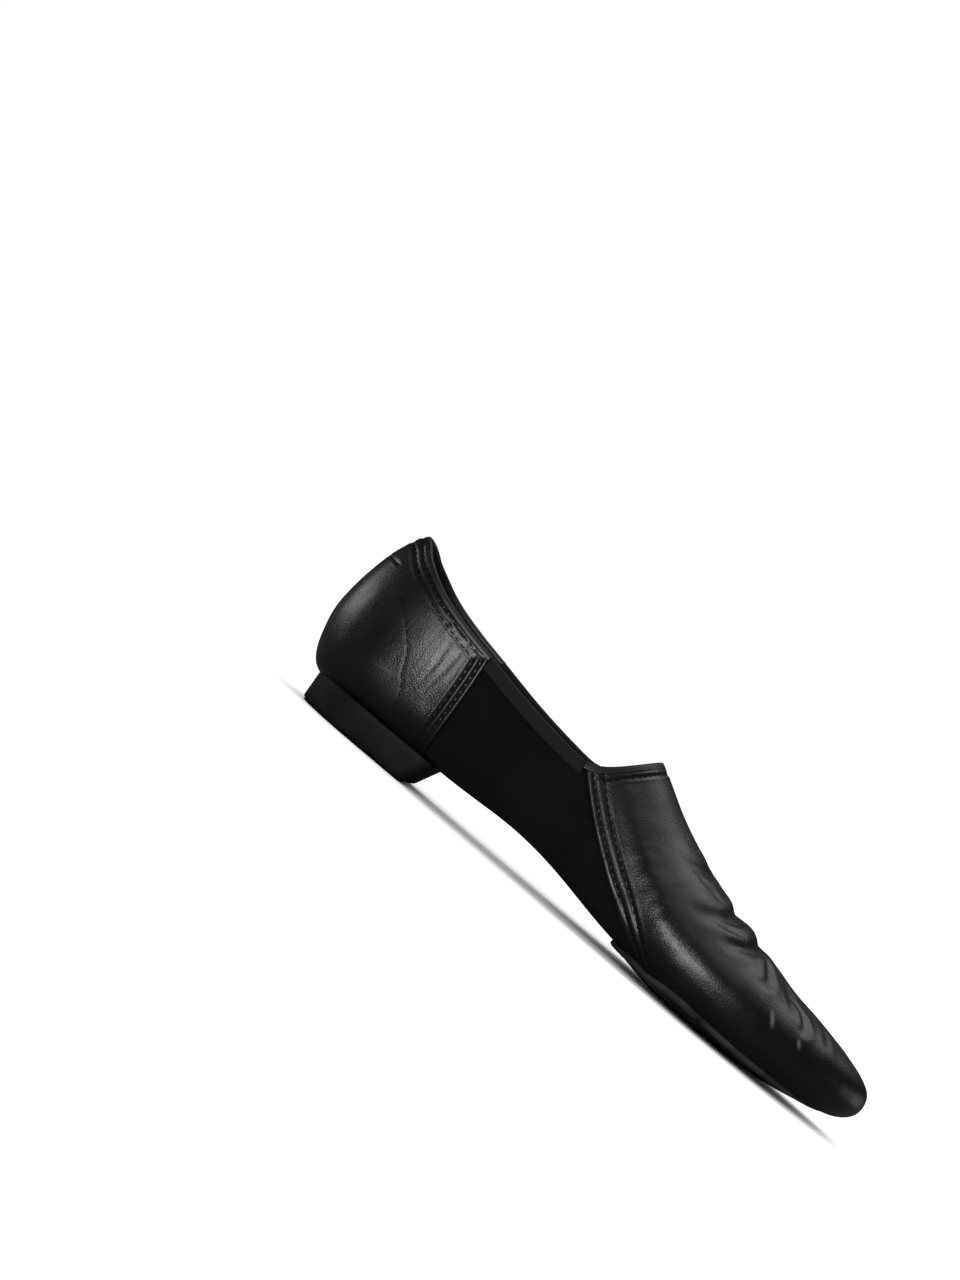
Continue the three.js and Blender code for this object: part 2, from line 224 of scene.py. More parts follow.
def last_point(u, w):
    """A point of the last. w goes once round: underside 0, outer side 0.25, top 0.5, inner 0.75."""
    s = section(u)
    across, up = -np.sin(TURN * w), -np.cos(TURN * w)
    power = np.where(up > 0, s.upper, s.lower)
    out = (np.abs(across) ** power + np.abs(up) ** power) ** (-1 / power)
    y = s.ridge + across * out * reach_of(s, across)
    z = s.waist + up * out * np.where(up > 0, s.rise, s.drop)
    return np.stack(np.broadcast_arrays(s.x, y, z), -1)


def last_normal(u, w):
    u = np.asarray(u, float)
    along = last_point(np.minimum(u + STEP, TIP), w) - last_point(np.maximum(u - STEP, 0), w)
    turned = last_point(u, w + STEP / 10) - last_point(u, w - STEP / 10)
    normal = unit(np.cross(along, turned))
    normal[np.broadcast_to(u <= 1e-6, normal.shape[:-1])] = (-1, 0, 0)
    normal[np.broadcast_to(u >= TIP - 1e-6, normal.shape[:-1])] = (1, 0, 0)
    return normal


def skin(u, w, offset):
    return last_point(u, w) + last_normal(u, w) * np.asarray(offset)[..., None]


ROW_STEPS = np.linspace(0, TIP, 3601)
ROW_PLACES = section(ROW_STEPS).x


def rows_at(x):
    return np.interp(x, ROW_PLACES, ROW_STEPS)


def turn_at(x, z, side):
    """Where a height lies round the last, on one side."""
    s = section(rows_at(x))
    up = np.clip((z - s.waist) / np.where(z > s.waist, s.rise, s.drop), -1, 1)
    power = np.where(up > 0, s.upper, s.lower)
    return turn_of(side * (1 - np.abs(up) ** power) ** (1 / power), up)


def place_of(points):
    """Row and turn of points near the last."""
    u = rows_at(points[..., 0])
    s = section(u)
    y, z = points[..., 1] - s.ridge, points[..., 2] - s.waist
    return u, turn_of(y / reach_of(s, y), z / np.where(z > 0, s.rise, s.drop))


def side_point(x, z, side):
    return last_point(rows_at(x), turn_at(x, z, side))


def smooth(points, before, after, steps):
    """A curve through points. It leaves and arrives as if two more lay before and after them."""
    line = np.vstack([before, points, after])
    t = np.linspace(0, 1, steps, endpoint=False)[:, None]
    return np.vstack([*(spline(*line[i:i + 4], t) for i in range(len(points) - 1)), points[-1:]])


def side_curve(table):
    share, height = np.array(table).T
    points = np.stack([share * LENGTH, sole_line(share) + height * depth_at(share)], -1)
    return smooth(points, points[:1], points[-1:], 40).T


TOP_X, TOP_Z = side_curve(TOPLINE)
VAMP_X, VAMP_Z = side_curve(VAMP_EDGE)
COUNTER_X, COUNTER_Z = side_curve(COUNTER_EDGE)


def top_height(x):
    return np.interp(x, TOP_X, TOP_Z)


def vamp_back(z):
    return np.interp(z, VAMP_Z[::-1], VAMP_X[::-1])


def counter_front(z):
    return np.interp(z, COUNTER_Z[::-1], COUNTER_X[::-1])


def crossing(edge_x, edge_z):
    """Where an edge meets the top line."""
    above = np.nonzero(edge_z > top_height(edge_x))[0][-1]
    return edge_x[above + 1], edge_z[above + 1]


VAMP_CORNER = crossing(VAMP_X, VAMP_Z)
COUNTER_CORNER = crossing(COUNTER_X, COUNTER_Z)


def in_vamp(p):
    return np.minimum(p[..., 0] - vamp_back(p[..., 2]), top_height(p[..., 0]) - p[..., 2])


def in_counter(p):
    return np.minimum(counter_front(p[..., 2]) - p[..., 0], top_height(p[..., 0]) - p[..., 2])


def lengths(points):
    steps = np.linalg.norm(np.diff(points, axis=0), axis=-1)
    return np.concatenate([np.zeros_like(steps[:1]), np.cumsum(steps, axis=0)])


def evenly(points, pitch, closed=False):
    """Points along a line at an even pitch."""
    run = lengths(points)
    count = max(2, int(round(run[-1] / pitch)) + 1)
    at = np.linspace(0, run[-1], count, endpoint=not closed)
    return np.stack([np.interp(at, run, points[:, k]) for k in range(points.shape[1])], -1)


def cap_grid(pole, far, inside, corner, columns, rows):
    """A grid that runs from a panel's edge to a pole of the last, as rows, turns, places and
    distances from the edge. Two columns start exactly at the panel's corners."""
    marks = [turn_at(*corner, OUTER), turn_at(*corner, INNER)]
    counts = [int(columns * marks[0]), int(columns * (marks[1] - marks[0]))]
    w = np.concatenate([
        np.linspace(0, marks[0], counts[0], endpoint=False),
        np.linspace(marks[0], marks[1], counts[1], endpoint=False),
        np.linspace(marks[1], 1, columns - sum(counts)),
    ])
    steps = np.linspace(pole, far, 500)[:, None]
    out = inside(last_point(steps, w[None, :])) < 0
    first = np.maximum(np.argmax(out, axis=0), 1)
    near, past = steps[first - 1, 0], steps[first, 0]
    for _ in range(24):
        middle = (near + past) / 2
        keep = inside(last_point(middle, w)) >= 0
        near, past = np.where(keep, middle, near), np.where(keep, past, middle)
    share = np.linspace(0, 1, 400)[:, None]
    dense = near + (pole - near) * share
    run = lengths(last_point(dense, w[None, :]))
    rest = np.linspace(0, 1, rows + 1)[1:]
    grid = []
    for c in range(len(w)):
        at = [*EDGE_ROWS, *(EDGE_ROWS[-1] + (run[-1, c] - EDGE_ROWS[-1]) * rest)]
        grid.append(np.interp(at, run[:, c], dense[:, c]))
    u = np.stack(grid, -1)
    u[-1] = pole
    w = np.broadcast_to(w, u.shape)
    base = last_point(u, w)
    away, _, _ = distance_to(base, base[0], 14)
    return u, w, base, away


def distance_to(points, path, reach=12.0):
    """Distance from points to a line, how far along it the nearest place is, and its length."""
    flat = points.reshape(-1, 3)
    distance = np.full(len(flat), 1e3)
    along = np.zeros(len(flat))
    low, high = path.min(0) - reach, path.max(0) + reach
    near = np.nonzero(((flat > low) & (flat < high)).all(-1))[0]
    run = lengths(path)
    start, way = path[:-1], np.diff(path, axis=0)
    size = np.maximum((way ** 2).sum(-1), 1e-12)
    for chunk in np.array_split(near, max(1, len(near) // 4000)):
        offset = flat[chunk][:, None] - start[None]
        t = np.clip((offset * way[None]).sum(-1) / size, 0, 1)
        gap = np.linalg.norm(offset - t[..., None] * way[None], axis=-1)
        best = gap.argmin(-1)
        pick = np.arange(len(chunk))
        distance[chunk] = gap[pick, best]
        along[chunk] = run[best] + t[pick, best] * np.sqrt(size[best])
    return distance.reshape(points.shape[:-1]), along.reshape(points.shape[:-1]), run[-1]


def drawn_line(marks, pitch=1.5):
    """A smooth line over the last through marks, each a distance from the heel and a turn."""
    marks = np.array(marks, float)
    x, w = smooth(marks, 2 * marks[:1] - marks[1:2], 2 * marks[-1:] - marks[-2:-1], 12).T
    return evenly(last_point(rows_at(x), w), pitch)


def bell(distance, width, place=0.0):
    return np.exp(-(((distance - place) / width) ** 2))


def tapered(along, total, power=1.0):
    """Fades a stroke out towards both its ends."""
    return np.sin(np.pi * np.clip(along / total, 0, 1)) ** power


def relief(points, strokes):
    """Height of the soft ridges and troughs drawn over the last. A stroke holds its height, its
    half width, how much it throws up on both sides, and its marks."""
    height = np.zeros(points.shape[:-1])
    for rise, width, throw, marks in strokes:
        gap, along, total = distance_to(points, drawn_line(marks), 4 * width)
        across = bell(gap, width) - throw * bell(gap, width, 1.9 * width)
        height += rise * tapered(along, total, 0.6) * across
    return DEEPEST * np.tanh(height / DEEPEST)


def shaped(rows, columns, points, scuff=None, sheet=None):
    """A bmesh grid of faces draped over points, welded where it closes."""
    bm = bmesh.new()
    bmesh.ops.create_grid(bm, x_segments=columns - 1, y_segments=rows - 1, size=0.5)
    mark = None if scuff is None else bm.verts.layers.float.new("scuff")
    layer = None if sheet is None else bm.loops.layers.uv.new("UVMap")
    flat = points.reshape(-1, 3).tolist()
    index = {}
    for vert in bm.verts:
        c = round((vert.co.x + 0.5) * (columns - 1))
        r = round((vert.co.y + 0.5) * (rows - 1))
        i = index[vert] = r * columns + c
        vert.co = flat[i]
        if mark:
            vert[mark] = float(scuff.flat[i])
    if layer:
        places = sheet.reshape(-1, 2).tolist()
        for face in bm.faces:
            for loop in face.loops:
                loop[layer].uv = places[index[loop.vert]]
    bmesh.ops.remove_doubles(bm, verts=bm.verts, dist=WELD)
    return bm


def settle(bm, points):
    for vert, point in zip(bm.verts, points.tolist()):
        vert.co = point


def linked(name, data):
    made = bpy.data.objects.new(name, data)
    bpy.context.scene.collection.objects.link(made)
    return made


def mesh_object(name, bm, material):
    mesh = bpy.data.meshes.new(name)
    bm.to_mesh(mesh)
    bm.free()
    mesh.materials.append(material)
    return linked(name, mesh)


def finished(name, bm, material, node_names, outward=True):
    """Turns a bmesh in shoe millimetres into a piece of the shoe."""
    if outward:
        bmesh.ops.recalc_face_normals(bm, faces=bm.faces)
    bmesh.ops.translate(bm, verts=bm.verts, vec=(-LENGTH / 2, 0, 0))
    bmesh.ops.scale(bm, verts=bm.verts, vec=(0.001, 0.001, 0.001))
    for face in bm.faces:
        face.smooth = True
    piece = mesh_object(name, bm, material)
    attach(piece, "root")
    if node_names:
        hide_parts(*node_names)
    return piece


def walled(piece, thickness, group=None, lining=None):
    """Gives a shell its wall, inward from the surface."""
    wall = piece.modifiers.new("Wall", "SOLIDIFY")
    wall.thickness = thickness / 1000
    wall.offset = -1
    wall.use_rim = True
    if group:
        wall.vertex_group = group
        wall.thickness_vertex_group = 0.0
    if lining:
        piece.data.materials.append(lining)
        wall.material_offset = 1


def add(tree, kind, **values):
    """Adds a node. Its inputs take plain values or the outputs of other nodes."""
    made = tree.nodes.new(kind)
    for key, value in values.items():
        if isinstance(value, bpy.types.NodeSocket):
            tree.links.new(value, made.inputs[key])
        elif key in made.inputs:
            made.inputs[key].default_value = value
        else:
            setattr(made, key, value)
    return made


def blank(name, colour, roughness, gloss):
    material = bpy.data.materials.new(name)
    material.use_nodes = True
    tree = material.node_tree
    shader = tree.nodes["Principled BSDF"]
    shader.inputs["Base Color"].default_value = (*colour, 1)
    shader.inputs["Roughness"].default_value = roughness
    for key, value in gloss.items():
        shader.inputs[key].default_value = value
    return material, tree, shader, add(tree, "ShaderNodeTexCoord").outputs["Object"]


def noise(tree, place, scale, detail=3.0, roughness=0.5):
    values = {"Vector": place, "Scale": scale, "Detail": detail, "Roughness": roughness}
    return add(tree, "ShaderNodeTexNoise", **values).outputs["Fac"]


def cells(tree, place, scale, feature="DISTANCE_TO_EDGE"):
    made = add(tree, "ShaderNodeTexVoronoi", Vector=place, Scale=scale, feature=feature)
    return made.outputs["Distance"]


def ranged(tree, value, low, high, start=0.3, end=0.7):
    span = {"From Min": start, "From Max": end, "To Min": low, "To Max": high}
    return add(tree, "ShaderNodeMapRange", Value=value, **span).outputs["Result"]


def mixed(tree, factor, *colours):
    """Mixes two colours, each a plain one or one from another node."""
    made = add(tree, "ShaderNodeMix", data_type="RGBA")
    tree.links.new(factor, made.inputs[0])
    for socket, colour in zip(made.inputs[6:8], colours):
        if isinstance(colour, bpy.types.NodeSocket):
            tree.links.new(colour, socket)
        else:
            socket.default_value = (*colour, 1)
    return made.outputs[2]


def bumped(tree, shader, heights):
    """Chains bumps, each a height, its strength and its depth in millimetres."""
    before = {}
    for height, strength, depth in heights:
        values = {"Height": height, "Strength": strength, "Distance": depth / 1000}
        made = add(tree, "ShaderNodeBump", **values, **before)
        before = {"Normal": made.outputs["Normal"]}
    tree.links.new(made.outputs["Normal"], shader.inputs["Normal"])


def leather(name, colour, roughness, grain):
    """Polished black leather: fine pebbled grain, uneven polish, scuffs where the mesh marks them."""
    gloss = {"Specular IOR Level": 0.32, "Coat Weight": 0.15, "Coat Roughness": 0.26}
    material, tree, shader, place = blank(name, colour, roughness, gloss)
    broad = noise(tree, place, 45, 4)
    pores = cells(tree, place, 1150)
    fine = noise(tree, place, 2600, 2)
    drawn = add(tree, "ShaderNodeMapping", Vector=place, Scale=(1.0, 1.0, 0.3))
    wrinkles = noise(tree, drawn.outputs["Vector"], 240, 4, 0.6)
    scuff = add(tree, "ShaderNodeAttribute", attribute_name="scuff").outputs["Fac"]
    tint = mixed(tree, ranged(tree, broad, 0.0, 0.5), colour, [c * 1.8 for c in colour])
    tree.links.new(mixed(tree, scuff, tint, colours().scuff), shader.inputs["Base Color"])
    dull = add(tree, "ShaderNodeMath", operation="ADD")
    tree.links.new(ranged(tree, broad, roughness - 0.07, roughness + 0.1), dull.inputs[0])
    tree.links.new(scuff, dull.inputs[1])
    tree.links.new(dull.outputs[0], shader.inputs["Roughness"])
    bumped(tree, shader, [
        (pores, 0.9 * grain, 0.16), (fine, 0.5 * grain, 0.06),
        (wrinkles, 0.35, 0.35), (broad, 0.3, 0.6),
    ])
    return material


def cloth(name, colour, sheen, scale):
    """Matt stretch cloth with a fine knit."""
    gloss = {"Specular IOR Level": 0.04, "Sheen Weight": sheen, "Sheen Roughness": 0.5}
    material, tree, shader, place = blank(name, colour, 0.95, gloss)
    broad = noise(tree, place, 60, 3)
    knit = cells(tree, place, scale, "F1")
    tint = mixed(tree, ranged(tree, broad, 0, 1), colour, [c * 1.6 for c in colour])
    tree.links.new(tint, shader.inputs["Base Color"])
    bumped(tree, shader, [(knit, 0.6, 0.15), (broad, 0.2, 0.5)])
    return material


def elastic(name, colour):
    """Narrow folded elastic with ribs across it."""
    gloss = {"Specular IOR Level": 0.15, "Sheen Weight": 0.06}
    material, tree, shader, place = blank(name, colour, 0.8, gloss)
    sheet = add(tree, "ShaderNodeUVMap", uv_map="UVMap").outputs["UV"]
    wave = {"Vector": sheet, "Scale": 420.0, "Distortion": 0.6, "Detail": 1.0}
    ribs = add(tree, "ShaderNodeTexWave", bands_direction="X", **wave).outputs["Fac"]
    tint = mixed(tree, ribs, [c * 0.6 for c in colour], [c * 1.3 for c in colour])
    tree.links.new(tint, shader.inputs["Base Color"])
    bumped(tree, shader, [(ribs, 0.7, 0.2), (noise(tree, place, 900, 2), 0.3, 0.1)])
    return material


def rubber(name, colour, roughness, dirt):
    """Moulded rubber, mottled and a little dusty."""
    material, tree, shader, place = blank(name, colour, roughness, {"Specular IOR Level": 0.12})
    broad = noise(tree, place, 70, 5, 0.6)
    fine = noise(tree, place, 1400, 3)
    tint = mixed(tree, ranged(tree, broad, 0, 1, 0.35, 0.65), [c * 0.7 for c in colour], dirt)
    tree.links.new(tint, shader.inputs["Base Color"])
    tree.links.new(ranged(tree, fine, roughness - 0.1, roughness + 0.12), shader.inputs["Roughness"])
    bumped(tree, shader, [(fine, 0.5, 0.08), (broad, 0.25, 0.3)])
    return material


def sewing_thread():
    thread, tree, shader, place = blank(
        "sewing_thread", colours().thread, 0.85, {"Specular IOR Level": 0.1}
    )
    bumped(tree, shader, [(noise(tree, place, 3000, 2), 0.5, 0.05)])
    return thread


def colour_setting(name, description, default):
    return FloatVectorProperty(
        name=name, description=description, subtype="COLOR", size=3, min=0, max=1, default=default
    )


def size_setting(name, description, default):
    return FloatProperty(
        name=name, description=description, default=default, min=0, unit="LENGTH", subtype="DISTANCE"
    )


class ShoeSizes(bpy.types.PropertyGroup):
    """Sizes of the small parts, which the frame leaves open."""

    stitch_length: size_setting("Stitch length", "Length of one stitch", 0.0025)
    stitch_pitch: size_setting("Stitch pitch", "From one stitch to the next", 0.0028)
    thread: size_setting("Thread", "Thickness of the sewing thread", 0.0005)
    hem: size_setting("Throat hem", "Height of the folded hem at the throat", 0.0022)
    rim: size_setting("Counter rim", "Height of the folded rim of the counter", 0.0016)
    binding: size_setting("Binding", "Height of the elastic binding", 0.004)
    rib_pitch: size_setting("Heel ribs", "From one tread rib of the heel to the next", 0.0013)


class ShoeColours(bpy.types.PropertyGroup):
    """Colours of the materials."""

    leather: colour_setting("Leather", "Vamp and counter", (0.002, 0.002, 0.0021))
    cloth: colour_setting("Stretch cloth", "Panel between vamp and counter", (0.0018, 0.0018, 0.0019))
    lining: colour_setting("Lining", "Inside of the body", (0.014, 0.014, 0.0145))
    elastic: colour_setting("Elastic", "Binding of the top edge", (0.0036, 0.0036, 0.0034))
    thread: colour_setting("Thread", "Stitches", (0.003, 0.003, 0.0032))
    heel: colour_setting("Heel rubber", "Heel block", (0.0026, 0.0025, 0.0022))
    heel_dirt: colour_setting("Heel dirt", "Mottling of the heel", (0.0048, 0.0047, 0.0042))
    pad: colour_setting("Sole pad", "Pad under the ball of the foot", (0.0075, 0.0076, 0.008))
    pad_dirt: colour_setting("Pad dirt", "Dust on the sole pad", (0.026, 0.026, 0.027))
    scuff: colour_setting("Scuff", "Where the leather is scraped", (0.16, 0.16, 0.16))
    insole: colour_setting("Insole", "Sock inside the shoe", (0.022, 0.022, 0.0225))


def sizes():
    return bpy.context.scene.shoe_sizes


def colours():
    return bpy.context.scene.shoe_colours


# Edge rows, in millimetres from the edge of the leather
EDGE_ROWS = [0, 0.12, 0.3, 0.55, *np.arange(0.9, 6.6, 0.4), 7.0, 7.6]

# Creases and swellings of the vamp: height, half width, throw, marks as (from the heel, turn)
FLEX_CREASES = [
    (-1.5, 3.0, 0.45, [(156, 0.34), (162, 0.375), (167, 0.42), (168, 0.48), (165, 0.54), (158, 0.6)]),
    (-1.0, 2.4, 0.4, [(171, 0.345), (176, 0.39), (180, 0.44), (180, 0.5), (175, 0.56)]),
    (-0.8, 2.8, 0.35, [(143, 0.39), (149, 0.43), (152, 0.48), (150, 0.53)]),
    (-0.7, 1.8, 0.5, [(166, 0.375), (171, 0.405), (175, 0.425)]),
    (-0.45, 2.0, 0.4, [(150, 0.41), (157, 0.43), (161, 0.425)]),
    (0.6, 4.0, 0.0, [(172, 0.4), (174, 0.46), (173, 0.53)]),
    (0.45, 5.0, 0.0, [(186, 0.41), (189, 0.47), (188, 0.54)]),
    (-0.7, 8.0, 0.0, [(146, 0.345), (158, 0.33), (172, 0.325), (184, 0.33)]),
    (-0.5, 9.0, 0.0, [(140, 0.66), (158, 0.67), (176, 0.665)]),
]
TOE_PLEATS = [
    (-0.85, 1.9, 0.5, [(181, 0.46), (187, 0.425), (190, 0.385), (188, 0.35)]),
    (-0.7, 2.2, 0.45, [(193, 0.475), (197, 0.44), (201, 0.39)]),
    (-0.65, 1.6, 0.5, [(200, 0.43), (206, 0.4), (209, 0.36), (208, 0.335)]),
    (-0.4, 1.5, 0.5, [(212, 0.46), (216, 0.42), (218, 0.375)]),
    (-0.3, 1.3, 0.4, [(206, 0.47), (209, 0.45), (211, 0.43)]),
    (-0.5, 2.2, 0.45, [(184, 0.56), (189, 0.6), (188, 0.65)]),
    (-0.35, 2.0, 0.45, [(197, 0.57), (201, 0.61), (200, 0.66)]),
]
DEEPEST = 2.0
COUNTER_CREASES = [
    (-0.1, 1.0, 0.3, [(42.5, 0.33), (43, 0.29), (41.5, 0.24)]),
    (-0.08, 0.9, 0.3, [(38, 0.31), (39.5, 0.27), (38.5, 0.23)]),
    (-0.07, 0.9, 0.3, [(45.5, 0.27), (44.5, 0.22)]),
    (-0.1, 1.0, 0.3, [(41, 0.67), (42, 0.72), (40, 0.77)]),
    (-0.08, 0.9, 0.3, [(45, 0.7), (44, 0.76)]),
    (-0.5, 9.0, 0.0, [(20, 0.36), (22, 0.29), (23, 0.22)]),
    (-0.4, 9.0, 0.0, [(20, 0.64), (22, 0.71), (23, 0.78)]),
]

TOE_SCUFFS = [
    ([(196, 0.335), (198.5, 0.31), (200.5, 0.285)], 0.6, 0.45),
    ([(209, 0.325), (211.5, 0.29)], 0.5, 0.4),
]

# Edges and seams of the leather, in millimetres. A seam lies in a groove between two swells, and
# the second row of the vamp gathers a soft fold. Rows of stitches lie at these distances from a
# panel's edge, come this low, and are trimmed this far from the next edge. A folded strip stands
# a little above the edge that it covers.
CUT_EDGE_RISE = 0.35
CUT_EDGE_ROUNDING = 0.9
FOLD_RISE = 0.9
GROOVE_WIDTH = 0.55
SWELL_PLACE = 1.3
SWELL_WIDTH = 0.6
GATHER_PLACE = 7.5
GATHER_WIDTH = 4.5
VAMP_ROWS = (2.4, 5.8)
VAMP_ROWS_LOW = 6.5
VAMP_ROWS_TRIM = 2.6
THROAT_ROW = 3.8
THROAT_ROW_TRIM = 6.6
COUNTER_ROWS = (2.1, 4.6)
COUNTER_ROWS_LOW = 12.5
VAMP_GROOVE = 0.4
COUNTER_GROOVES = [0.42] * 6 + [0.07] * 2 + [0.2]

# The stiffener's seam on both sides of the counter, and the seam across its back
STIFFENER = [(17, 46.5), (25, 40), (31, 32.5), (35.5, 25), (38.5, 17.5)]
BACK_SEAM_HEIGHT = 54.5
BACK_SEAM_REACH = 15.0


class SHOE_OT_stretch_body(bpy.types.Operator):
    """Build the stretch body, with its dark lining and its top edge cut along the top line"""

    bl_idname = "shoe.stretch_body"
    bl_label = "Stretch body"

    def execute(self, context):
        bm = bmesh.new()
        around, along = 176, 170
        bmesh.ops.create_uvsphere(bm, u_segments=around, v_segments=along, radius=1)
        co = np.array([v.co for v in bm.verts])
        u = TIP * np.arccos(np.clip(co[:, 2], -1, 1)) / math.pi
        w = np.arctan2(co[:, 1], co[:, 0]) / TURN % 1
        points = last_point(u, w)
        points[:, 2] -= top_height(points[:, 0])
        settle(bm, points)
        bmesh.ops.bisect_plane(
            bm, geom=bm.verts[:] + bm.edges[:] + bm.faces[:], dist=1e-4,
            plane_co=(0, 0, 0), plane_no=(0, 0, 1), clear_outer=True,
        )
        depth = []
        for vert in bm.verts:
            depth.append(-vert.co.z)
            vert.co.z += float(top_height(vert.co.x))
        lining = cloth("lining", colours().lining, 0.2, 1500)
        piece = finished(
            "stretch_body", bm, cloth("stretch_cloth", colours().cloth, 0.01, 1900),
            ["upper"],
        )
        wall = piece.vertex_groups.new(name="wall")
        for i, below in enumerate(depth):
            wall.add([i], min(1.0, 0.5 + 0.05 * below), "REPLACE")
        walled(piece, BODY_WALL, "wall", lining)
        return {"FINISHED"}


def dragged(points, seam):
    """Height of the leather that a seam gathers: a soft fold beside it, with fine wrinkles across."""
    gap, run, total = distance_to(points, seam, 26)
    near = bell(gap, GATHER_WIDTH, GATHER_PLACE) * tapered(run, total, 0.5)
    folds = np.stack([run / 2.6, gap / 8.0, np.zeros(run.shape)], -1)
    return near * (0.55 + 0.16 * wandering(folds, 1.0) + 0.1 * wandering(folds + 9.0, 0.5))


def leather_panel(
    name, node_name, slot, panel, strokes, seams, grain, uneven, scuffs=(), gathered=(),
):
    """A panel of leather over the body: rounded at its edge, sunk along its seams, creased by its
    strokes."""
    u, w, base, away = panel
    turned = np.clip(1 - away / CUT_EDGE_ROUNDING, 0, 1)
    offset = GAP + CUT_EDGE_RISE + (LEATHER - CUT_EDGE_RISE) * np.sqrt(1 - turned ** 2)
    for path, depth in seams:
        gap, run, _ = distance_to(base, path, 4)
        pucker = 0.88 + 0.12 * np.cos(TURN * run / (sizes().stitch_pitch * 1000))
        offset -= depth * pucker * bell(gap, GROOVE_WIDTH)
        offset += 0.25 * depth * bell(gap, SWELL_WIDTH, SWELL_PLACE)
    for seam in gathered:
        offset += dragged(base, seam)
    offset += relief(base, strokes)
    offset += uneven * wandering(base, 24) + 0.3 * uneven * wandering(base, 7)
    scuff = np.zeros(offset.shape)
    for marks, width, strength in scuffs:
        gap, run, total = distance_to(base, drawn_line(marks, 0.6), 3)
        scuff += strength * bell(gap, width) * tapered(run, total)
    points = skin(u, w, offset)
    bm = shaped(*u.shape, points, scuff=np.clip(scuff, 0, 1))
    piece = finished(name, bm, leather(slot, colours().leather, 0.33, grain), [node_name])
    walled(piece, LEATHER)


def wandering(points, size):
    """Slow unevenness of the surface, between -1 and 1, over a size in millimetres."""
    flat = (points.reshape(-1, 3) / size).tolist()
    return np.array([wander.noise(p) for p in flat]).reshape(points.shape[:-1])


def beside(line, distance):
    """A line over the last at a distance to one side of another."""
    line = evenly(line, 0.6)
    way = np.cross(unit(np.gradient(line, axis=0)), last_normal(*place_of(line)))
    u, w = place_of(line + distance * way)
    return last_point(u, w)


def front_line(edge, corner, low, side):
    """The counter's or the vamp's slanting edge, from the top line down."""
    z = np.linspace(corner[1], low, 160)
    return side_point(edge(z), z, side)


@lru_cache
def vamp_seams():
    seams = []
    for side in (OUTER, INNER):
        line = front_line(vamp_back, VAMP_CORNER, VAMP_ROWS_LOW, side)
        for away in VAMP_ROWS:
            seam = beside(line, side * away)
            seams.append(seam[seam[:, 2] < top_height(seam[:, 0]) - VAMP_ROWS_TRIM])
    seam = beside(collar_part(VAMP_CORNER[0], LENGTH), THROAT_ROW)
    seams.append(seam[seam[:, 0] > vamp_back(seam[:, 2]) + THROAT_ROW_TRIM])
    return seams


@lru_cache
def counter_seams():
    seams = []
    for away in COUNTER_ROWS:
        seam = beside(collar_part(0, COUNTER_CORNER[0]), away)
        seams.append(seam[seam[:, 0] < counter_front(seam[:, 2]) - away])
        for side in (OUTER, INNER):
            line = front_line(counter_front, COUNTER_CORNER, COUNTER_ROWS_LOW, side)
            seam = beside(line, -side * away)
            seams.append(seam[seam[:, 2] < top_height(seam[:, 0]) - away])
    for side in (OUTER, INNER):
        marks = [(x, turn_at(x, z, side)) for x, z in STIFFENER]
        seams.append(drawn_line(marks, 0.5))
    x = np.linspace(3, 30, 400)
    half = side_point(x, np.full(400, BACK_SEAM_HEIGHT), OUTER)
    half = half[(np.abs(half[:, 1]) < BACK_SEAM_REACH) & (np.abs(half[:, 1]) > 0.3)]
    seams.append(evenly(np.vstack([half[::-1], half * [1, -1, 1]]), 0.5))
    return seams


class SHOE_OT_vamp(bpy.types.Operator):
    """Build the leather vamp with its seams, creases and scuffs"""

    bl_idname = "shoe.vamp"
    bl_label = "Vamp"

    def execute(self, context):
        leather_panel(
            "vamp_upper", "vamp", "vamp_leather",
            cap_grid(TIP, 4, in_vamp, VAMP_CORNER, 284, 142), FLEX_CREASES + TOE_PLEATS,
            [(path, VAMP_GROOVE) for path in vamp_seams()], grain=0.8, uneven=0.35,
            scuffs=TOE_SCUFFS, gathered=vamp_seams()[1::2],
        )
        return {"FINISHED"}


class SHOE_OT_counter(bpy.types.Operator):
    """Build the leather counter round the heel"""

    bl_idname = "shoe.counter"
    bl_label = "Counter"

    def execute(self, context):
        leather_panel(
            "heel_counter", "counter", "counter_leather",
            cap_grid(0, 12, in_counter, COUNTER_CORNER, 330, 104), COUNTER_CREASES,
            list(zip(counter_seams(), COUNTER_GROOVES)), grain=0.6, uneven=0.25,
        )
        return {"FINISHED"}


def collar_line():
    """The top edge of the body, from the back round the outer side to the throat and home."""
    x = np.linspace(0, 130, 26001)
    s = section(rows_at(x))
    open_x = x[s.waist + s.rise > top_height(x)]
    middle, half = (open_x[0] + open_x[-1]) / 2, (open_x[-1] - open_x[0]) / 2
    way = middle - half * np.cos(np.linspace(0, math.pi, 400))
    outer, inner = (side_point(way, top_height(way), side) for side in (OUTER, INNER))
    return np.vstack([outer, inner[::-1][1:]])


